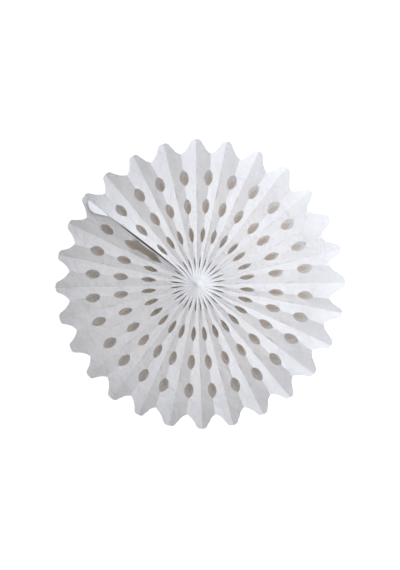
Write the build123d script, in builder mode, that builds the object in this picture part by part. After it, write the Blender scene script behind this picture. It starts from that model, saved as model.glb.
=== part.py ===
"""Paper fan rosette: a die-cut tissue honeycomb fan, opened to a full round and closed at its end covers."""

import os
from math import cos, degrees, hypot, pi, radians, sin, sqrt, tan

from build123d import *

# Whole rosette, lying on its back, with its axis upright
outer_radius = 150.0
rim_depth = 13.4
cell_count = 28
joint_angle = 142.4

# Tissue leaves and their die-cut outline
leaf_thickness = 0.15
bore_share = 1.05
notch_radius = 7.8
notch_pitch = 29.35
rim_to_notch = 41.0
least_land = 5.0
corner_length = 16.5
corner_depth = 13.5
notch_sides = 4
inner_notch_sides = 2
corner_sides = 3

# Card end covers
cover_thickness = 0.3
cover_inner_radius = 19.0
cover_end_gap = 4.0
cover_corner_length = 34.0
cover_bow = 1.05

# Corner of one cover that is bent over the joint
ear_fold_fall = 25.0
ear_end_gap = 7.7
ear_reach = 7.6
ear_lean = 30.0

# Seam that has come unglued beside the joint
loose_seam_first_notch = 1
loose_seam_lift = 0.28
loose_seam_cling = 0.9

# Thread that binds the inner ends
thread_diameter = 0.5
thread_stitches = 14
thread_clearance = 0.1

# Worked out from the values above
half_pitch = pi / cell_count
inner_radius = bore_share * leaf_thickness / tan(half_pitch)
edge_end = outer_radius - corner_length
strip_half_width = hypot(rim_depth, 2 * edge_end * sin(half_pitch / 2))
strip_width = 2 * strip_half_width
tip_half_width = strip_half_width - corner_depth
cover_outer_radius = outer_radius - cover_end_gap
cover_straight_radius = cover_outer_radius - cover_corner_length
ear_length = (cover_corner_length - ear_end_gap) / cos(radians(ear_fold_fall))


def notch_centres():
    """Radii of the notches, from the inner end to the rim."""
    centres = []
    centre = outer_radius - rim_to_notch
    while centre - notch_radius - inner_radius > least_land:
        centres.insert(0, centre)
        centre -= notch_pitch
    return centres


def cut_edge(centres):
    """Front edge of one leaf from its inner end to its tip, as (radius, distance from the middle crease)."""
    points = [(inner_radius, strip_half_width)]
    for centre in centres:
        sides = inner_notch_sides if centre == centres[0] else notch_sides
        for i in range(sides + 1):
            turn = pi * i / sides
            points.append((centre - notch_radius * cos(turn), strip_half_width - notch_radius * sin(turn)))
    for i in range(corner_sides + 1):
        share = i / corner_sides
        points.append((edge_end + corner_length * share**2, strip_half_width - corner_depth * share))
    return points


def crease_radii(centres):
    """Radii along the middle crease that the facets meet at: both ends and the middle of each glued land."""
    lands = [centre + notch_pitch / 2 for centre in centres[:-1]]
    outer_land = (centres[-1] + notch_radius + edge_end) / 2
    return [inner_radius, *lands, outer_land, outer_radius]


def strip_facets(edge, fold):
    """Triangles between the cut edge and the crease, each edge point joined to its nearest crease point."""
    facets = []
    i, j = 0, 0
    while i < len(edge) - 1 or j < len(fold) - 1:
        at_last_fold = j == len(fold) - 1
        if at_last_fold or edge[i + 1][0] + edge[i][0] <= fold[j][0] + fold[j + 1][0]:
            facets.append((fold[j], edge[i], edge[i + 1]))
            i += 1
        else:
            facets.append((fold[j], edge[i], fold[j + 1]))
            j += 1
    return facets


def cover_face_offset(radius):
    """Distance of a cover's outer face from the joint's plane, greatest at the knee of its shallow bow."""
    rise = (radius - cover_inner_radius) / (bow_knee - cover_inner_radius)
    fall = (bow_end - radius) / (bow_end - bow_knee)
    return cover_thickness + cover_bow * max(0.0, min(rise, fall))


def beside_cover(radius):
    """How far the crease of a leaf beside the joint is held off the joint's plane by its cover."""
    return 0.0 if radius < cover_inner_radius else cover_face_offset(radius)


def in_plane(radius):
    """A crease beside another leaf, and an edge in a sound seam, stay in the plane that they share."""
    return 0.0


def loose_edge(share):
    """Pulls the stretch of cut edge between two notches off its seam, by a share of the way to the crease."""
    start = centres[loose_seam_first_notch]
    end = centres[loose_seam_first_notch + 1]
    return lambda radius: share if start < radius < end else 0.0


def leaf_point(radius, distance, face, held_off, pulled):
    """Point of the leaf's inner skin, in the frame of its seam, with its valley on the +Y side."""
    fold = Vector(radius * cos(half_pitch), radius * sin(half_pitch) - leaf_thickness)
    fold += Vector(sin(half_pitch), -cos(half_pitch)) * held_off(radius)
    seam = Vector(radius, 0)
    edge = seam + (fold - seam) * (pulled(radius) if face > 0 else 0.0)
    edge_height = sqrt(strip_half_width**2 - (edge - fold).length ** 2)
    share = distance / strip_half_width
    point = fold + (edge - fold) * share
    return Vector(point.X, point.Y, strip_half_width + face * share * edge_height)


def make_leaf(radii, held_off, pulled):
    """One die-cut leaf: two webs that slope from the middle crease to the glued front and back edges."""
    fold = [(radius, 0.0) for radius in radii]
    through = Vector(0, leaf_thickness, 0)
    faces = []
    for face in (1, -1):
        for facet in strip_facets(outline, fold):
            corners = [leaf_point(*corner, face, held_off, pulled) for corner in facet]
            faces.append(Face(Wire.make_polygon(corners)))
            faces.append(Face(Wire.make_polygon([corner + through for corner in corners])))
        rim = [fold[0], *outline, fold[-1]]
        for start, end in zip(rim, rim[1:]):
            near = leaf_point(*start, face, held_off, pulled)
            far = leaf_point(*end, face, held_off, pulled)
            faces.append(Face(Wire.make_polygon([near, far, far + through, near + through])))
    return Solid(Shell(faces))


def cover_plan():
    """Plan of a cover beside the joint's plane, which lies along +X."""
    radii = [cover_inner_radius, bow_knee, bow_end, cover_outer_radius]
    outer = [(radius, cover_face_offset(radius)) for radius in radii]
    inner = [(radius, cover_face_offset(radius) - cover_thickness) for radius in reversed(radii)]
    return outer + inner


centres = notch_centres()
outline = cut_edge(centres)
crease = crease_radii(centres)
bow_knee = crease[len(crease) // 2 - 1]
bow_end = crease[-2]
cover_crease = sorted([*crease, cover_inner_radius])

# The plain leaf, and the three beside the joint that differ from it
with BuildPart() as leaf:
    add(make_leaf(crease, in_plane, in_plane))

with BuildPart() as end_leaf:
    add(make_leaf(cover_crease, beside_cover, in_plane))

with BuildPart() as loose_end_leaf:
    add(make_leaf(cover_crease, beside_cover, loose_edge(loose_seam_cling)))

with BuildPart() as loose_leaf:
    add(make_leaf(crease, in_plane, loose_edge(loose_seam_lift)))

# One end cover: a straight card strip with a rounded outer end, bowed a little off the joint's plane
with BuildPart() as cover:
    with BuildSketch() as plan:
        with BuildLine():
            Polyline(cover_plan(), close=True)
        make_face()
    extrude(amount=strip_width)
    with BuildSketch(Plane.XZ) as side:
        with BuildLine():
            front = Line((cover_inner_radius, strip_width), (cover_straight_radius, strip_width))
            front_tip = (cover_outer_radius, strip_half_width + tip_half_width)
            front_corner = TangentArc(front @ 1, front_tip, tangent=(1, 0))
            back = Line((cover_inner_radius, 0), (cover_straight_radius, 0))
            back_tip = (cover_outer_radius, strip_half_width - tip_half_width)
            back_corner = TangentArc(back @ 1, back_tip, tangent=(1, 0))
            Line(front_corner @ 1, back_corner @ 1)
            Line(front @ 0, back @ 0)
        make_face()
    extrude(amount=outer_radius, both=True, mode=Mode.INTERSECT)

# The other cover, with its front corner folded over the edge of the joint
fold_start = Vector(cover_straight_radius, 0, strip_width)
fold_line = Vector(1, 0, 0).rotate(Axis.Y, ear_fold_fall)
ear_out = Vector(0, 1, 0).rotate(Axis((0, 0, 0), fold_line), ear_lean)
ear_root = cover_thickness * tan((pi / 2 - radians(ear_lean)) / 2)

with BuildPart() as eared_cover:
    add(cover.part)
    with BuildSketch(Plane(fold_start, x_dir=fold_line, z_dir=Vector(0, -1, 0))):
        Rectangle(strip_width, strip_width, align=Align.MIN)
    extrude(amount=outer_radius, both=True, mode=Mode.SUBTRACT)
    ear_origin = fold_start + Vector(0, cover_thickness, 0)
    with BuildSketch(Plane(ear_origin, x_dir=fold_line, z_dir=fold_line.cross(ear_out))) as ear:
        with BuildLine():
            ThreePointArc((0, 0), (ear_length / 2, ear_reach), (ear_length, 0))
            Polyline((0, 0), (0, -ear_root), (ear_length, -ear_root), (ear_length, 0))
        make_face()
    extrude(amount=cover_thickness)

# Thread inside the bore, where the inner ends of all the leaves meet, as a ring of straight stitches
thread_reach = inner_radius * cos(half_pitch) - thread_clearance
with BuildPart() as thread:
    with BuildSketch(Plane.XY.offset(strip_half_width - thread_diameter / 2)):
        RegularPolygon(thread_reach, thread_stitches)
        RegularPolygon(thread_reach - thread_diameter, thread_stitches, mode=Mode.SUBTRACT)
    extrude(amount=thread_diameter)

os.makedirs("parts", exist_ok=True)

thread.part.label = "binding_thread"
export_step(thread.part, "parts/binding_thread.step")

with BuildPart() as cover_a:
    add(cover.part.mirror(Plane.XZ).rotate(Axis.Z, joint_angle))
cover_a.part.label = "end_cover_a"
export_step(cover_a.part, "parts/end_cover_a.step")

with BuildPart() as cover_b:
    add(eared_cover.part.rotate(Axis.Z, joint_angle))
cover_b.part.label = "end_cover_b"
export_step(cover_b.part, "parts/end_cover_b.step")

# The leaves stand round the axis in order, two to a cell, mirrored about the seam between them
leaf_count = 2 * cell_count
leaf_shapes = {1: loose_end_leaf, 2: loose_leaf, leaf_count: end_leaf}
for number in range(1, leaf_count + 1):
    before_seam = number % 2 == 1
    seam_number = number if before_seam else number - 1
    shape = leaf_shapes.get(number, leaf).part
    if before_seam:
        shape = shape.mirror(Plane.XZ)
    with BuildPart() as placed_leaf:
        add(shape.rotate(Axis.Z, joint_angle + degrees(half_pitch) * seam_number))
    placed_leaf.part.label = f"leaf_{number:02d}"
    export_step(placed_leaf.part, f"parts/leaf_{number:02d}.step")
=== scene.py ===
# %% [markdown]
# # A paper fan rosette
#
# The object is a stack of long tissue strips, glued so that it opens like a honeycomb, with a
# die-cut row of notches along both edges. Opened to a full round and closed at its two card
# covers, the stack becomes a rosette: the notches pair up into leaf-shaped holes, and the
# rounded ends of the strips make a scalloped rim. The model file gives the true places of all
# the pieces. This lesson makes them look like tissue.

import math
import random

import bmesh
import bpy
from mathutils import Matrix, Vector


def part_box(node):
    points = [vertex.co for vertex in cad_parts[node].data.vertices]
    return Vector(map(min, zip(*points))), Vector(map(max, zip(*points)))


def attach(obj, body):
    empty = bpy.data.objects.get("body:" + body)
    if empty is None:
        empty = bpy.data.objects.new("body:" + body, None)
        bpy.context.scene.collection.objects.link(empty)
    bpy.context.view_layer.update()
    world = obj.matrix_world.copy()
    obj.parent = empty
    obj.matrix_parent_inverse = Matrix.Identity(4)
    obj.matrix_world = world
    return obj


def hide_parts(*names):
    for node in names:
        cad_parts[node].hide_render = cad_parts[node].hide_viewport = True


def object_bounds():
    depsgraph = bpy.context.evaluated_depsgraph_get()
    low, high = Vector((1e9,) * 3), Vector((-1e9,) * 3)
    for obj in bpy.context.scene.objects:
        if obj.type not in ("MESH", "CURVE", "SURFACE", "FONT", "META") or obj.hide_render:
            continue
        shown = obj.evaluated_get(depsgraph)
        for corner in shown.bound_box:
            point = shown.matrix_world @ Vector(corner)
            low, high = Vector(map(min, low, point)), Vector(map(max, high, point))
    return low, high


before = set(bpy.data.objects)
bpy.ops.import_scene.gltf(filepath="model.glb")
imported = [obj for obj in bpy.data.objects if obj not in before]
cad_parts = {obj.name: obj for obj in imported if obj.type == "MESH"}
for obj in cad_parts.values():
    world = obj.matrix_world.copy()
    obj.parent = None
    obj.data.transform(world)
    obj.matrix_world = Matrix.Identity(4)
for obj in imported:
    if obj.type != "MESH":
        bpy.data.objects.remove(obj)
model_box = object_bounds()
print("pieces in the model:", len(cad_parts))

# %% [markdown]
# The driving sizes come from the model where it can give them. The strip is as wide as the
# rosette is deep, because near the middle its webs stand upright, and its length is the
# rosette's radius. The count of the cells and the angle of the joint are those that the model
# was built with.

# %% Sizes
low, high = Vector(model_box[0]), Vector(model_box[1])
outer_radius = (high.x - low.x) / 2
leaf_low, leaf_high = (Vector(corner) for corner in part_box("leaf_10"))
strip_half_width = (leaf_high.z - leaf_low.z) / 2
middle_height = (leaf_high.z + leaf_low.z) / 2
cell_count = 28
half_pitch = math.pi / cell_count
joint_angle = math.radians(142.4)
print("strip half width:", round(strip_half_width, 4), "radius:", round(outer_radius, 4))

# %% [markdown]
# Formulas inside a node tree are easier to read as formulas. The class Term wraps a socket and
# overloads the arithmetic operators, so that `1 - mask * 2` adds the Math nodes by itself.

# %% Numbers that flow between nodes
class Term:
    """A number that flows between nodes."""

    def __init__(self, bench, socket):
        self.bench = bench
        self.socket = socket

    def __add__(self, other):
        return self.bench.math("ADD", self, other)

    def __sub__(self, other):
        return self.bench.math("SUBTRACT", self, other)

    def __rsub__(self, other):
        return self.bench.math("SUBTRACT", other, self)

    def __mul__(self, other):
        return self.bench.math("MULTIPLY", self, other)

    def __truediv__(self, other):
        return self.bench.math("DIVIDE", self, other)

    def __pow__(self, other):
        return self.bench.math("POWER", self, other)

    __radd__ = __add__
    __rmul__ = __mul__


print("sums for nodes: + - * / **")

# %% [markdown]
# Every other node comes from Bench.node, which sets the node's own settings first and its
# sockets afterwards. Materials and geometry use the same few calls, because both are made of
# node trees.

# %% A bench for node trees
class Bench:
    """A node tree, and the few calls that lay nodes on it."""

    def __init__(self, tree):
        self.tree = tree

    def node(self, kind, settings=None, sockets=None):
        """Adds a node, sets its settings, then fills its sockets with values or links."""
        node = self.tree.nodes.new(kind)
        for name, value in (settings or {}).items():
            setattr(node, name, value)
        for key, value in (sockets or {}).items():
            if isinstance(value, Term):
                value = value.socket
            if isinstance(value, bpy.types.NodeSocket):
                self.tree.links.new(value, node.inputs[key])
            else:
                node.inputs[key].default_value = value
        return node

    def math(self, operation, *values):
        """One Math node, for what the operators can't say."""
        node = self.node("ShaderNodeMath", {"operation": operation}, dict(enumerate(values)))
        return Term(self, node.outputs[0])

    def noise(self, place, scale, detail, distortion=0.0):
        """Soft noise between 0 and 1 at a place."""
        node = self.node("ShaderNodeTexNoise", None,
                         {"Vector": place, "Scale": scale, "Detail": detail,
                          "Distortion": distortion})
        return Term(self, node.outputs[0])

    def wander(self, x, y, z, scale, detail=2.0):
        """Soft noise between about -0.5 and 0.5 at a place given by three numbers."""
        place = self.node("ShaderNodeCombineXYZ", None, {0: x, 1: y, 2: z})
        return self.noise(place.outputs[0], scale, detail) - 0.5


def step_between(bench, value, start, end):
    """Rises smoothly from 0 to 1 as the value goes from start to end."""
    node = bench.node("ShaderNodeMapRange", {"interpolation_type": "SMOOTHSTEP"},
                      {0: value, 1: start, 2: end})
    return Term(bench, node.outputs[0])


print("calls of the bench:", [name for name in vars(Bench) if not name.startswith("_")])

# %% [markdown]
# Every finish starts as an empty material. Its patterns read the place on the piece in metres,
# which Blender calls Object coordinates, so that they keep their size and don't slide. A few
# things change with the distance from the rosette's axis: the outer part gets painted shade,
# and the middle lets less light through.

# %% Helpers for the finishes
def new_material(name):
    """An empty material, and the bench for its nodes."""
    material = bpy.data.materials.new(name)
    material.use_nodes = True
    material.node_tree.nodes.clear()
    return material, Bench(material.node_tree)


def two_tone(bench, amount, first, second):
    """A colour between two, by a number from 0 to 1."""
    mix = bench.node("ShaderNodeMix", {"data_type": "RGBA"}, {0: amount, 6: first, 7: second})
    return mix.outputs[2]


def from_axis(bench, place):
    """Distance of a place from the rosette's axis."""
    parts = bench.node("ShaderNodeSeparateXYZ", None, {0: place})
    x, y = Term(bench, parts.outputs[0]), Term(bench, parts.outputs[1])
    return bench.math("SQRT", x * x + y * y)


print("materials before the first finish:", len(bpy.data.materials))

# %% [markdown]
# Tissue is mostly light that has gone through it: about half of what falls on a sheet comes out
# at the back. So the finish mixes a matt surface with a translucent one. White tissue is a
# little warm, which shows only inside the cells, where light has bounced many times. Fine
# fibres and soft creases go into the bump, and cloudy patches of thicker pulp into the colour.
#
# The outer part is greyed a little towards the rim, as painted shade that holds down the light
# the rim gets. The cut ends of the strips are greyed more, as painted shade where a real cut
# edge would curl away: a number on each point of the strip says where they are. At the middle
# all the leaves are bundled by the thread, and less light gets through them.

# %% Tissue
thin_pulp, thick_pulp = (0.968, 0.955, 0.937, 1), (0.992, 0.985, 0.975, 1)
# Painted shade: a grey for the outer part, and a darker grey for the cut rim edges.
outer_shade_tissue, crushed_tissue = (0.93, 0.92, 0.905, 1), (0.87, 0.86, 0.845, 1)
outer_shade_start, outer_shade_end = 0.08, 0.145
bundled_radius, free_radius = 0.006, 0.03
bundled_share, added_share = 0.36, 0.22
cloud_share = 0.75
crease_relief, cloud_relief, fibre_relief = 0.9, 0.4, 0.03


def make_tissue():
    """White tissue, a matt and a translucent surface in one."""
    material, bench = new_material("white_tissue")
    place = bench.node("ShaderNodeTexCoord").outputs["Object"]
    clouds = bench.noise(place, scale=110.0, detail=4.0)
    fibres = bench.noise(place, scale=1400.0, detail=2.0)
    creases = bench.noise(place, scale=55.0, detail=3.0, distortion=0.9)

    pulp = clouds * cloud_share + fibres * (1 - cloud_share)
    colour = two_tone(bench, pulp, thin_pulp, thick_pulp)
    radius = from_axis(bench, place)
    # Painted shade: the tissue greys towards the rim, to hold down the light the rim gets.
    outer_shade = step_between(bench, radius, outer_shade_start, outer_shade_end)
    colour = two_tone(bench, outer_shade, colour, outer_shade_tissue)
    # Painted shade along the cut of the rounded ends and at the tip, darker than the rest.
    crushed = bench.node("ShaderNodeAttribute", {"attribute_name": "crushed"}).outputs["Fac"]
    colour = two_tone(bench, crushed, colour, crushed_tissue)

    ridges = bench.math("ABSOLUTE", creases - 0.5) * crease_relief
    height = ridges + clouds * cloud_relief + fibres * fibre_relief
    bump = bench.node("ShaderNodeBump", None,
                      {"Strength": 1.0, "Distance": 0.003, "Height": height})
    surface = bench.node("ShaderNodeBsdfPrincipled", None,
                         {"Base Color": colour, "Roughness": 0.8, "Specular IOR Level": 0.2,
                          "Normal": bump.outputs[0]})
    through = bench.node("ShaderNodeBsdfTranslucent", None,
                         {"Color": colour, "Normal": bump.outputs[0]})
    free = step_between(bench, radius, bundled_radius, free_radius)
    both = bench.node("ShaderNodeMixShader", None,
                      {0: free * added_share + bundled_share,
                       1: surface.outputs[0], 2: through.outputs[0]})
    bench.node("ShaderNodeOutputMaterial", None, {"Surface": both.outputs[0]})
    return material


tissue = make_tissue()
print("material:", tissue.name)

# %% [markdown]
# The covers are stiff white card with a fine tooth. Card lets no light through, so more of it
# comes back from its face than from a leaf of tissue. Its colour is therefore written a little
# darker than the tissue's, or it would outshine it. Card and thread differ only in their
# numbers, so one helper makes both: a grain that shows in the colour and in the bump.

# %% Card
def grainy_material(name, grain, tones, relief, roughness):
    """A matt material with one fine grain in its colour and its bump."""
    material, bench = new_material(name)
    place = bench.node("ShaderNodeTexCoord").outputs["Object"]
    pattern = bench.noise(place, **grain)
    bump = bench.node("ShaderNodeBump", None, {**relief, "Height": pattern})
    surface = bench.node("ShaderNodeBsdfPrincipled", None,
                         {"Base Color": two_tone(bench, pattern, *tones),
                          "Roughness": roughness, "Normal": bump.outputs[0]})
    bench.node("ShaderNodeOutputMaterial", None, {"Surface": surface.outputs[0]})
    return material


card = grainy_material("white_card", grain={"scale": 900.0, "detail": 3.0},
                       tones=((0.84, 0.83, 0.82, 1), (0.89, 0.88, 0.87, 1)),
                       relief={"Strength": 0.15, "Distance": 0.0003}, roughness=0.6)
print("material:", card.name)

# %% [markdown]
# The thread is white too, and a little warmer than the tissue. Its twist is finer than anything
# else on the rosette, so a very small grain, clear in tone and low in relief, is enough.

# %% Thread
thread = grainy_material("white_thread", grain={"scale": 4000.0, "detail": 1.0},
                         tones=((0.8, 0.78, 0.74, 1), (0.93, 0.92, 0.9, 1)),
                         relief={"Strength": 0.5, "Distance": 0.0001}, roughness=0.7)
print("material:", thread.name)

# %% [markdown]
# A leaf starts as it does at the maker's: flat on the table, just out of the die. X runs along
# the strip, from its inner end to the rim, and Y across it, with the crease at 0. The die takes
# four half-round notches out of each edge and cuts the outer corners away. A quarter of an
# ellipse would be too hollow there, so a lower power straightens the corner's curve, and a
# small round ends it at the tip.

# %% The die
bore_radius = 0.0014
notch_radius = 0.0078
notch_pitch = 0.02935
rim_to_notch = 0.041
notch_centres = [outer_radius - rim_to_notch - notch_pitch * k for k in (3, 2, 1, 0)]
corner_length = 0.0165
corner_depth = 0.0135
corner_power = 1.6
tip_rounding = 0.004


def cut_depth(radius):
    """How far the die has cut in from the edge at a place along the strip."""
    for centre in notch_centres:
        if abs(radius - centre) < notch_radius:
            return math.sqrt(notch_radius ** 2 - (radius - centre) ** 2)
    past = max(0.0, outer_radius - radius) / corner_length
    if past >= 1:
        return 0.0
    rounding = max(0.0, radius - outer_radius + tip_rounding) / tip_rounding
    tip = tip_rounding * (1 - math.sqrt(1 - rounding ** 2))
    return corner_depth * (1 - past ** corner_power) ** (1 / corner_power) + tip


print("notches at:", [round(centre, 4) for centre in notch_centres])

# %% [markdown]
# The mesh of the strip has a row of points at each of these stations. They stand close together
# where a notch or the rounded end turns quickly, so that the cut stays round, and further apart
# along the straight lands, where more points would show nothing.

# %% Stations along the strip
land_step = 0.0022
notch_steps, corner_steps, tip_steps = 14, 10, 6


def turns(whole, steps):
    """Even steps of a turn, without its start."""
    return [whole * k / steps for k in range(1, steps + 1)]


def stations():
    """Places along the strip where the mesh has a row of points."""
    found = [bore_radius]
    starts = [centre - notch_radius for centre in notch_centres] + [outer_radius - corner_length]
    for start in starts:
        first, span = found[-1], start - found[-1]
        steps = max(1, round(span / land_step))
        found += [first + span * k / steps for k in range(1, steps + 1)]
        if start != starts[-1]:
            found += [start + notch_radius * (1 - math.cos(turn))
                      for turn in turns(math.pi, notch_steps)]
    found += [outer_radius - corner_length * math.cos(turn)
              for turn in turns(math.pi / 2, corner_steps)[:-1]]
    found += [outer_radius - tip_rounding * (1 - math.sin(turn))
              for turn in turns(math.pi / 2, tip_steps)]
    return sorted(found)


print("rows of points along the strip:", len(stations()))

# %% [markdown]
# One strip is enough for all 56 leaves, because the die cuts the whole stack at once. Its
# points also carry a number for painted shade, which is 1 along the cut of the rounded ends and
# at the tip.

# %% The flat strip
columns_a_side = 9
tip_margin = 0.0001


def flat_strip():
    """The strip as the die leaves it, as a grid of points."""
    grid = bmesh.new()
    crushed = grid.verts.layers.float.new("crushed")
    columns = range(-columns_a_side, columns_a_side + 1)
    rows = []
    for radius in stations():
        edge = strip_half_width - cut_depth(radius)
        row = [grid.verts.new((radius, edge * j / columns_a_side, 0)) for j in columns]
        # These points get painted shade: the cut edge of the rounded end, and the whole tip.
        if radius > outer_radius - corner_length:
            row[0][crushed] = row[-1][crushed] = 1.0
        if radius > outer_radius - tip_margin:
            for point in row:
                point[crushed] = 1.0
        rows.append(row)
    for row, following in zip(rows, rows[1:]):
        for j in range(2 * columns_a_side):
            face = grid.faces.new((row[j], following[j], following[j + 1], row[j + 1]))
            face.smooth = True
    mesh = bpy.data.meshes.new("flat_strip")
    grid.to_mesh(mesh)
    grid.free()
    return mesh


strip = flat_strip()
print("flat strip:", len(strip.vertices), "points,", len(strip.polygons), "faces")

# %% [markdown]
# Opening the stack is a rule, so Geometry Nodes do it. Each leaf is glued to one neighbour
# along its two cut edges, which is a seam, and to the other along its crease. In the round, the
# seam lies in one upright plane through the axis and the crease in the next one. The tree gets
# a named input for each thing that differs from leaf to leaf, and the seeds of its noise are
# inputs too, so that every run gives the same leaves.

# %% Inputs of the leaf's tree
leaf_inputs = ("Seam Angle", "Crease Angle", "Seam Seed", "Crease Seed", "Leaf Seed", "Held Off",
               "Loose", "Joint Rise", "Buckle")


def new_inputs(tree, names):
    """Adds the sockets of a tree, and finds the identifiers of its inputs by their names."""
    def add(name, way, kind):
        return tree.interface.new_socket(name=name, in_out=way, socket_type=kind).identifier

    add("Geometry", "INPUT", "NodeSocketGeometry")
    found = {name: add(name, "INPUT", "NodeSocketFloat") for name in names}
    found["Material"] = add("Material", "INPUT", "NodeSocketMaterial")
    add("Geometry", "OUTPUT", "NodeSocketGeometry")
    return found


print("number inputs of a leaf:", len(leaf_inputs))

# %% [markdown]
# A web starts at the seam and slopes down to the crease, half-way up the stack. Near the middle
# there is no room for that: the webs of two cells meet a short way down and lie against each
# other from there to the crease, so the valleys are shallow. The last millimetre by the seam
# stands upright, because there two leaves are pressed together. So the course of a web has two
# parts, each a share from 0 to 1: sideways to its neighbour, and then lower along it.

# %% The course of a web
open_radius = 0.105
pressed_share, least_pressed = 0.22, 0.1
spread_start = 0.12
fin = 0.03
meeting_share, meeting_softness = 0.92, 0.1
front_hug, back_hug = 1.2, 0.7
pinch, pinch_power = 3.5, 5
above_zero = 0.0001


def web_course(bench, radius, share, side, spread_out):
    """Shares of a web's way sideways to its neighbour, and of its way down along it."""
    rest = 1 - share
    inner = bench.math("MAXIMUM", 1 - radius / open_radius, 0.0)
    pressed = inner * pressed_share + least_pressed * (1 - spread_out)
    run = (bench.math("SQRT", rest * rest + fin ** 2) - fin) / (math.sqrt(1 + fin ** 2) - fin)
    run = bench.math("SMOOTH_MIN", run / ((1 - pressed) * meeting_share), 1.0, meeting_softness)
    run = bench.math("MINIMUM", run, 1.0)
    back = bench.math("MAXIMUM", side * -1.0, 0.0)
    sideways = run ** (front_hug + inner ** pinch_power * pinch + back * back_hug)
    lower = bench.math("MAXIMUM", (rest - 1 + pressed) / (pressed + above_zero), 0.0)
    return sideways, lower


print("webs are pressed together, most of all within a radius of:", open_radius)

# %% [markdown]
# A card cover stands on each side of the joint, and the crease of the end leaf is glued to it.
# So that crease is held off the joint's plane by the card's thickness and by its shallow bow.
# The bow is a half wave with its top nearer the inner end, which a power of the place along it
# gives.

# %% Beside a cover
cover_thickness = 0.0003
cover_start, cover_ramp = 0.019, 0.001
cover_bow, bow_end = 0.00105, 0.1244
bow_lead, bow_sharpness = 0.836, 1.4


def cover_offset(bench, radius):
    """How far a cover's outer face stands off the joint's plane."""
    along = (radius - cover_start) / (bow_end - cover_start)
    along = bench.math("MINIMUM", bench.math("MAXIMUM", along, 0.0), 1.0)
    arch = bench.math("SINE", along ** bow_lead * math.pi)
    bowed = bench.math("MAXIMUM", arch, 0.0) ** bow_sharpness * cover_bow
    begun = step_between(bench, radius, cover_start - cover_ramp, cover_start)
    return bowed + cover_thickness * begun


print("the covers bow by:", cover_bow)

# %% [markdown]
# The strip's width and the cell's width give the height of a seam, as in a right-angled
# triangle. A real face isn't as even: it falls from the tied middle as a slight cone, stays
# low, and comes up again to the rim. The valleys are much shallower than a taut honeycomb's,
# and deepen to the rim, where the cells stand open. Beside the joint the webs rise to the edges
# of the covers instead. Those sink with the face, but a little less, and fall along the bent
# corner's fold.

# %% Heights of seam and valley
rim_height = math.sqrt(strip_half_width ** 2 - (outer_radius * math.sin(half_pitch)) ** 2)
cone_drop, cone_radius, cone_end = 0.004, 0.007, 0.085
valley_slope, rim_slope, valley_softness = 0.28, 0.40, 0.002
joint_share, joint_sink = 0.985, 0.8
rise_before, rise_after = 0.003, 0.03
cover_straight = 0.112
flap_fall = math.tan(math.radians(18))


def seam_and_valley(bench, radius, reach, spread_out, joint_rise):
    """Height of the seam over the middle of the stack, and how far the valley lies below it."""
    taut = bench.math("SQRT", strip_half_width ** 2 - (radius * math.sin(half_pitch)) ** 2)
    straight = strip_half_width - (strip_half_width - rim_height) * reach
    cone = 1 - bench.math("EXPONENT", radius * -1.0 / cone_radius)
    cone = cone * (1 - step_between(bench, radius, cone_end, outer_radius)) * cone_drop
    seam_height = (taut + straight) * 0.5 - cone

    slope = valley_slope + (rim_slope - valley_slope) * spread_out
    valley = bench.math("SMOOTH_MIN", radius * math.sin(half_pitch) * slope, seam_height,
                        valley_softness)

    past = bench.math("MAXIMUM", radius - cover_straight, 0.0)
    joint_height = strip_half_width * joint_share - past * flap_fall - cone * joint_sink
    risen = joint_rise * step_between(bench, radius, cover_start - rise_before,
                                      cover_start + rise_after)
    return seam_height, valley + risen * (seam_height - joint_height - valley)


print("height of a seam over the middle, at the rim:", round(rim_height, 4))

# %% [markdown]
# In one cell beside the joint the glue has let go between two holes. The front edge stands off
# its seam there, and the web stands steeper. A share says how far: 0 is glued, and 1 is upright
# over the crease. A small ripple keeps the freed edge from being a straight line.

# %% The seam that has let go
let_go_start = (notch_centres[1] - 0.004, notch_centres[1] + 0.006)
let_go_end = (notch_centres[2] - 0.006, notch_centres[2] + 0.004)
ripple_share = 0.6


def let_go(bench, radius, side, given):
    """How far a point of the front web has come off its seam, as a share."""
    front = bench.math("MAXIMUM", side, 0.0)
    gap = step_between(bench, radius, *let_go_start)
    gap = gap * (1 - step_between(bench, radius, *let_go_end))
    loose = given["Loose"] * gap * front
    ripple = bench.wander(radius, given["Leaf Seed"], 7.0, scale=140.0) * loose * (1 - loose)
    return loose + ripple * ripple_share


print("the seam is open from", round(let_go_start[0], 4), "to", round(let_go_end[1], 4))

# %% [markdown]
# Nothing glued by hand is straight. The crease and the seam wander a little, more so towards
# the rim, and the seam's upright edge leans to either side. Two leaves that share a crease or a
# seam have the same seed for it, so they wander together and stay glued. The third number of
# each noise only keeps it apart from the others.

# %% How far a point lies beside its seam
crease_wander, seam_wander, edge_wander = 0.0016, 0.0032, 0.003
edge_start = 0.9
tissue_thickness = 0.0001


def beside_seam(bench, radius, reach, share, sideways, given):
    """Distance of a point from its seam's plane."""
    turn = given["Crease Angle"] - given["Seam Angle"]
    hand = bench.math("SIGN", turn)
    crease_wave = bench.wander(radius, given["Crease Seed"], 3.0, scale=30.0)
    crease_wave = crease_wave * crease_wander * reach
    held_off = hand * given["Held Off"] * cover_offset(bench, radius)
    spread = radius * bench.math("SINE", turn) + crease_wave - held_off

    seam_wave = bench.wander(radius, given["Seam Seed"], 0.0, scale=55.0)
    seam_wave = seam_wave * seam_wander * reach * share
    edge_lean = bench.wander(radius, given["Seam Seed"], 5.0, scale=70.0) * edge_wander * reach
    edge_lean = edge_lean * step_between(bench, share, edge_start, 1.0)
    return spread * sideways + seam_wave + edge_lean + hand * tissue_thickness * 0.5


print("a seam wanders by up to:", seam_wander / 2)

# %% [markdown]
# A crease is as far from the axis as its seam, so measured along the seam's plane it lies a
# little short of it. Otherwise a point keeps its place along the strip, but for the inner ends,
# which close up over the thread: they leave room for it only at the middle of the stack's
# height.

# %% How far a point lies along its seam
apex_gap, apex_length = 0.0002, 0.004
thread_room, thread_room_end = 0.15, 0.4


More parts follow.
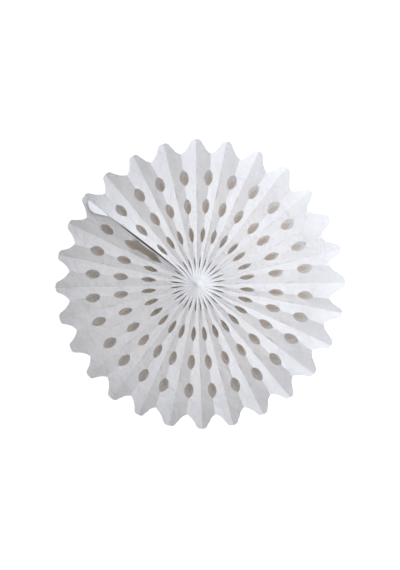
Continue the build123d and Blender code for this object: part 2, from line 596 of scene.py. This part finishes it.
def along_seam(bench, radius, share, sideways):
    """Distance of a point from the axis, along its seam's plane."""
    inward = (bore_radius - apex_gap) * step_between(bench, share, thread_room, thread_room_end)
    inward = inward * (1 - step_between(bench, radius, bore_radius, bore_radius + apex_length))
    return (radius - inward) * (1 - (1 - math.cos(half_pitch)) * sideways)


print("gap left at the axis:", apex_gap)

# %% [markdown]
# Each web buckles along its own normal, in slow swells with a finer crinkle on them. It stays
# flat at its seam and at its crease, where glue holds it, and buckles least near the middle.

# %% Buckled paper
held_band = 4
crinkle_stretch, crinkle_share = 1.5, 0.2
least_buckle = 0.3


def buckle(bench, radius, across, share, sideways, given):
    """How far a point is pushed out along the normal of its web."""
    free = bench.math("MINIMUM", (1 - sideways) * share * held_band, 1.0)
    swell = bench.wander(radius, across, given["Leaf Seed"], scale=38.0, detail=3.0)
    crinkle = bench.wander(radius, across * crinkle_stretch, given["Leaf Seed"], scale=110.0,
                           detail=3.0)
    outer = radius / outer_radius * (1 - least_buckle) + least_buckle
    return (swell + crinkle * crinkle_share) * free * outer * given["Buckle"]


print("share of the buckling left at the axis:", least_buckle)

# %% [markdown]
# Now the tree can be laid. It first stores each point's place on the flat strip, because the
# points are moved twice: to their places in the opened leaf, and then along the normals that
# they have there. The rules above are worked out beside the seam, and turned to the seam's
# angle at the end.

# %% The tree that opens a leaf
apex_drift = -0.0002


def opened_place(bench, radius, across, given):
    """Where a point of the flat strip goes, and how far it is pushed out from there."""
    share = bench.math("ABSOLUTE", across) / strip_half_width
    side = bench.math("SIGN", across)
    reach = radius / outer_radius
    spread_out = step_between(bench, radius, spread_start, outer_radius)
    sideways, lower = web_course(bench, radius, share, side, spread_out)
    seam_height, valley = seam_and_valley(bench, radius, reach, spread_out, given["Joint Rise"])
    upward = (seam_height - valley * sideways) * (1 - lower)
    loose = let_go(bench, radius, side, given)
    sideways = sideways + loose * (1 - sideways)
    upward = upward + loose * (share * strip_half_width - upward)

    lateral = beside_seam(bench, radius, reach, share, sideways, given)
    along = along_seam(bench, radius, share, sideways)
    cosine = bench.math("COSINE", given["Seam Angle"])
    sine = bench.math("SINE", given["Seam Angle"])
    x = along * cosine - lateral * sine + apex_drift * (1 - reach) ** 2
    y = along * sine + lateral * cosine
    z = middle_height + side * upward
    place = bench.node("ShaderNodeCombineXYZ", None, {0: x, 1: y, 2: z})
    return place.outputs[0], buckle(bench, radius, across, share, sideways, given)


def leaf_tree():
    """The tree, and the identifiers of its inputs."""
    tree = bpy.data.node_groups.new("open_leaf", "GeometryNodeTree")
    inputs = new_inputs(tree, leaf_inputs)
    bench = Bench(tree)
    start = bench.node("NodeGroupInput")
    given = {name: Term(bench, start.outputs[name]) for name in leaf_inputs}
    kept = bench.node("GeometryNodeStoreNamedAttribute",
                      {"data_type": "FLOAT_VECTOR", "domain": "POINT"},
                      {"Geometry": start.outputs["Geometry"], "Name": "flat",
                       3: bench.node("GeometryNodeInputPosition").outputs[0]})
    flat = bench.node("GeometryNodeInputNamedAttribute", {"data_type": "FLOAT_VECTOR"},
                      {"Name": "flat"})
    flat = bench.node("ShaderNodeSeparateXYZ", None, {0: flat.outputs[0]})
    radius, across = Term(bench, flat.outputs[0]), Term(bench, flat.outputs[1])

    place, push = opened_place(bench, radius, across, given)
    opened = bench.node("GeometryNodeSetPosition", None,
                        {"Geometry": kept.outputs[0], "Position": place})
    outwards = bench.node("ShaderNodeVectorMath", {"operation": "SCALE"},
                          {0: bench.node("GeometryNodeInputNormal").outputs[0], 3: push})
    buckled = bench.node("GeometryNodeSetPosition", None,
                         {"Geometry": opened.outputs[0], "Offset": outwards.outputs[0]})
    real = bench.node("GeometryNodeRealizeInstances", None, {0: buckled.outputs[0]})
    dressed = bench.node("GeometryNodeSetMaterial", None,
                         {"Geometry": real.outputs[0], "Material": start.outputs["Material"]})
    bench.node("NodeGroupOutput", None, {0: dressed.outputs[0]})
    return tree, inputs


open_leaf, open_leaf_inputs = leaf_tree()
print("nodes in the leaf's tree:", len(open_leaf.nodes))

# %% [markdown]
# A piece is shaped by modifiers on a scratch object: the tree for a leaf, and Solidify for the
# paper's thickness. The shaped mesh is then copied into a plain object with no modifier,
# because that is what the model keeps. Folds sharper than 50 degrees stay crisp, and the rest
# is smooth.

# %% From modifiers to a plain mesh
sharp_fold = math.radians(50)


def baked(name, mesh, modifiers):
    """A plain mesh object from a mesh and the modifiers that shape it."""
    source = bpy.data.objects.new(name + "_source", mesh)
    bpy.context.scene.collection.objects.link(source)
    for add in modifiers:
        add(source)
    bpy.context.view_layer.update()
    graph = bpy.context.evaluated_depsgraph_get()
    result = bpy.data.meshes.new_from_object(source.evaluated_get(graph))
    bpy.data.objects.remove(source)
    result.name = name
    result.set_sharp_from_angle(angle=sharp_fold)
    piece = bpy.data.objects.new(name, result)
    bpy.context.scene.collection.objects.link(piece)
    return piece


def opened_by(values):
    """Adds the leaf's tree to an object, with the leaf's own numbers."""
    def add(source):
        modifier = source.modifiers.new("open", "NODES")
        modifier.node_group = open_leaf
        for name, value in values.items():
            modifier[open_leaf_inputs[name]] = value
        modifier[open_leaf_inputs["Material"]] = tissue
    return add


def thickened(thickness):
    """Adds a wall of paper or card on both sides of a surface."""
    def add(source):
        modifier = source.modifiers.new("thickness", "SOLIDIFY")
        modifier.thickness = thickness
        modifier.offset = 0.0
    return add


# %% [markdown]
# Every leaf is the same flat strip with its own numbers. A seam or crease angle is a little off
# its even place, as in any hand-glued stack, and the two leaves that share it get the same
# value. Only the creases beside the joint stay exact, because they lie on the covers. The first
# and the last leaf rise to their covers, and the first two have the seam that has let go
# between them.

# %% Open the 56 leaves
leaf_count = 2 * cell_count
draw = random.Random(28)
seam_error, crease_error = 0.55, 0.35
seam_stray = [math.radians(draw.gauss(0, seam_error)) for _ in range(cell_count)]
crease_stray = [math.radians(draw.gauss(0, crease_error)) for _ in range(cell_count + 1)]
crease_stray[0] = crease_stray[-1] = 0.0
loose_by_leaf = {1: 0.9, 2: 0.28}
rise_by_leaf = {1: 0.9, leaf_count: 1.0}
buckle_depth = 0.0036


def leaf_values(number):
    """The numbers of one leaf, for the named inputs of its tree."""
    seam, crease = (number - 1) // 2, number // 2
    return {
        "Seam Angle": joint_angle + half_pitch * (2 * seam + 1) + seam_stray[seam],
        "Crease Angle": joint_angle + half_pitch * 2 * crease + crease_stray[crease],
        "Seam Seed": 10.0 + seam * 3.7,
        "Crease Seed": 200.0 + (crease % cell_count) * 4.1,
        "Leaf Seed": 1.0 + number * 2.3,
        "Held Off": 1.0 if number in (1, leaf_count) else 0.0,
        "Loose": loose_by_leaf.get(number, 0.0),
        "Joint Rise": rise_by_leaf.get(number, 0.0),
        "Buckle": buckle_depth,
    }


for number in range(1, leaf_count + 1):
    shaping = [opened_by(leaf_values(number)), thickened(tissue_thickness)]
    leaf = baked(f"tissue_leaf_{number:02d}", strip, shaping)
    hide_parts(f"leaf_{number:02d}")
    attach(leaf, "root")
print("leaves:", leaf_count, "faces in one:", len(leaf.data.polygons))

# %% [markdown]
# The covers are card strips that stand on edge at the joint, bowed a little apart. The outer
# corners are rounded. On one cover the front corner is bent over the joint along a falling fold
# line, and what is bent over is a curved flap, which is widest nearer the rim. Each of these
# lines is a small rule of the place along the strip. The bow and the cone are the leaves' rules
# again, in plain numbers, so that card and tissue meet.

# %% Lines of the covers
cover_end = 0.146
flap_end, flap_width, flap_skew = 0.1435, 0.0068, 1.35
flap_lift, flap_curl = 0.42, 22.0


def cover_bowed(radius):
    """Distance of a cover's inner face from the joint's plane."""
    along = min(max((radius - cover_start) / (bow_end - cover_start), 0.0), 1.0)
    return cover_bow * max(math.sin(math.pi * along ** bow_lead), 0.0) ** bow_sharpness


def corner_fall(radius):
    """How far the rounded outer corner of a cover falls below its straight edge."""
    past = max(radius - cover_straight, 0.0)
    length = cover_end - cover_straight
    round_radius = (length ** 2 + corner_depth ** 2) / (2 * corner_depth)
    return round_radius - math.sqrt(round_radius ** 2 - past ** 2)


def flap_reach(radius):
    """Width of the bent corner at a place along its fold."""
    along = (radius - cover_straight) / (flap_end - cover_straight)
    if not 0 < along < 1:
        return 0.0
    return flap_width * math.sin(math.pi * along ** flap_skew)


def cone_depth(radius):
    """How far the face has fallen as a cone at a distance from the axis."""
    share = min(max((radius - cone_end) / (outer_radius - cone_end), 0.0), 1.0)
    recovered = share * share * (3 - 2 * share)
    return cone_drop * (1 - math.exp(-radius / cone_radius)) * (1 - recovered)


print("the round corners of a cover fall by:", round(corner_fall(cover_end), 4))

# %% [markdown]
# Each cover starts as a grid, one column of points up its height for each place along it. The
# column of the bent cover carries on over the fold as the flap, which stands up a little and
# flattens towards its edge. Solidify gives the grid the card's thickness.

# %% The two covers
rows_up, flap_rows = 16, 6
column_step = 0.0016


def cover_column(radius, hand, has_flap):
    """Points of a cover from its back edge to its front edge, and on over its bent corner."""
    lateral = hand * (cover_bowed(radius) + cover_thickness / 2)
    fall = corner_fall(radius)
    fold_height = strip_half_width - max(radius - cover_straight, 0.0) * flap_fall
    top = min(strip_half_width - fall, fold_height) - cone_depth(radius) * joint_sink
    bottom = -strip_half_width + fall
    column = []
    for j in range(rows_up + 1):
        height = bottom + (top + strip_half_width - fall) * j / rows_up
        column.append(Vector((radius, lateral, middle_height + height)))
    if has_flap:
        for j in range(1, flap_rows + 1):
            out = flap_reach(radius) * j / flap_rows
            rise = out * flap_lift - out * out * flap_curl
            column.append(column[rows_up] + Vector((0, hand * out, rise)))
    return column


def cover_strip(name, hand, has_flap):
    """A cover's grid, turned to the joint."""
    count = round((cover_end - cover_start) / column_step)
    turn = Matrix.Rotation(joint_angle, 4, "Z")
    grid = bmesh.new()
    columns = []
    for i in range(count + 1):
        radius = cover_start + (cover_end - cover_start) * i / count
        column = cover_column(radius, hand, has_flap)
        columns.append([grid.verts.new(turn @ point) for point in column])
    for column, following in zip(columns, columns[1:]):
        for j in range(len(column) - 1):
            face = grid.faces.new((column[j], following[j], following[j + 1], column[j + 1]))
            face.smooth = True
    bmesh.ops.remove_doubles(grid, verts=grid.verts, dist=1e-6)
    mesh = bpy.data.meshes.new(name)
    grid.to_mesh(mesh)
    grid.free()
    mesh.materials.append(card)
    return mesh


for name, hand, has_flap in (("end_cover_a", -1, False), ("end_cover_b", 1, True)):
    strip_of_card = cover_strip("card_" + name, hand, has_flap)
    cover = baked("card_" + name, strip_of_card, [thickened(cover_thickness)])
    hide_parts(name)
    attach(cover, "root")
    print(cover.name, "faces:", len(cover.data.polygons))

# %% [markdown]
# The thread holds the inner ends of all the leaves together, half-way up the stack, where it
# can hardly be seen. The model's own ring of stitches already has the right shape and place, so
# it stays, and only gets its finish.

# %% The binding thread
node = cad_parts["binding_thread"]
node.data.materials.clear()
node.data.materials.append(thread)
print("thread finished")

# %% [markdown]
# The floor is plain and pale. Under the object it is a matt surface painted a warm beige, as
# painted shade for the floor that the holes show. Around the object it also glows a little for
# the camera alone, which turns it white without any more light on the object.

# %% Floor
# Painted shade: the warm beige under the object tints what the holes show.
shade_tinted_floor, open_floor = (0.85, 0.8, 0.745, 1), (0.62, 0.62, 0.64, 1)
open_start, open_full = 0.118, 0.13
glow_start, glow_full = 0.122, 0.138
glow_strength = 0.84
below_object = 0.0002


def make_floor():
    """Pale floor that looks white round the object."""
    material, bench = new_material("pale_floor")
    radius = from_axis(bench, bench.node("ShaderNodeTexCoord").outputs["Object"])
    colour = two_tone(bench, step_between(bench, radius, open_start, open_full),
                      shade_tinted_floor, open_floor)
    matt = bench.node("ShaderNodeBsdfDiffuse", None, {"Color": colour})
    outside = step_between(bench, radius, glow_start, glow_full)
    seen = Term(bench, bench.node("ShaderNodeLightPath").outputs["Is Camera Ray"])
    glow = bench.node("ShaderNodeEmission", None,
                      {"Color": (1, 1, 1, 1), "Strength": seen * outside * glow_strength})
    both = bench.node("ShaderNodeAddShader", None, {0: matt.outputs[0], 1: glow.outputs[0]})
    bench.node("ShaderNodeOutputMaterial", None, {"Surface": both.outputs[0]})
    return material


bpy.ops.mesh.primitive_plane_add(size=8)
floor = bpy.context.object
floor.name = "floor"
floor.location.z = -below_object
floor.data.materials.append(make_floor())
print("material:", floor.data.materials[0].name)

# %% [markdown]
# One large soft light stands to the right and a little above, near enough that the left of the
# rosette gets clearly less of it. It is cool, like the light of a window. The pale surroundings
# fill the rest.

# %% Light
def area_light(name, azimuth, elevation, distance, size, watts, colour):
    """A round soft light that faces the object from a direction."""
    data = bpy.data.lights.new(name, "AREA")
    data.energy = watts
    data.shape = "DISK"
    data.size = size
    data.color = colour
    light = bpy.data.objects.new(name, data)
    bpy.context.scene.collection.objects.link(light)
    turn, rise = math.radians(azimuth), math.radians(elevation)
    outward = Vector((math.cos(turn) * math.cos(rise), math.sin(turn) * math.cos(rise),
                      math.sin(rise)))
    light.location = outward * distance
    light.rotation_euler = outward.to_track_quat("Z", "Y").to_euler()
    return light


window = area_light("window", azimuth=27, elevation=38, distance=0.64, size=0.8, watts=4.95,
                    colour=(0.885, 0.966, 1.1))

world = bpy.data.worlds.new("surroundings")
world.use_nodes = True
surroundings = world.node_tree.nodes["Background"].inputs
surroundings["Color"].default_value = (0.965, 0.966, 1.015, 1)
surroundings["Strength"].default_value = 0.515
bpy.context.scene.world = world
print("light:", window.name, "at a height of", round(window.location.z, 3))

# %% [markdown]
# The camera looks down on the rosette from about half a metre, slightly from the right, as the
# way the holes line up with the ones at the back shows. The lens follows from that height and
# from how much of the floor the picture takes in.

# %% Camera
camera_height = 0.48
frame_height = 0.5945
camera_data = bpy.data.cameras.new("camera")
camera_data.sensor_fit = "VERTICAL"
camera_data.sensor_height = 24.0
camera_data.lens = camera_data.sensor_height / frame_height * camera_height
camera = bpy.data.objects.new("camera", camera_data)
bpy.context.scene.collection.objects.link(camera)
target = Vector((0.0016, -0.0007, middle_height))
camera.location = (0.023, 0.004, middle_height + camera_height)
backward = (camera.location - target).normalized()
to_right = Vector((0, 1, 0)).cross(backward).normalized()
to_top = backward.cross(to_right)
camera.rotation_euler = Matrix((to_right, to_top, backward)).transposed().to_euler()
bpy.context.scene.camera = camera
print("lens:", round(camera_data.lens, 1))

# %% [markdown]
# Near the middle light goes through one leaf after another, and each counts as a bounce. With
# Blender's usual limit it would be lost there and leave a dark patch, so the limits are raised.

# %% Finish
light_bounces = 32
bpy.context.scene.view_settings.view_transform = "Standard"
bpy.context.scene.cycles.max_bounces = light_bounces
bpy.context.scene.cycles.diffuse_bounces = light_bounces
bpy.context.scene.cycles.transmission_bounces = light_bounces
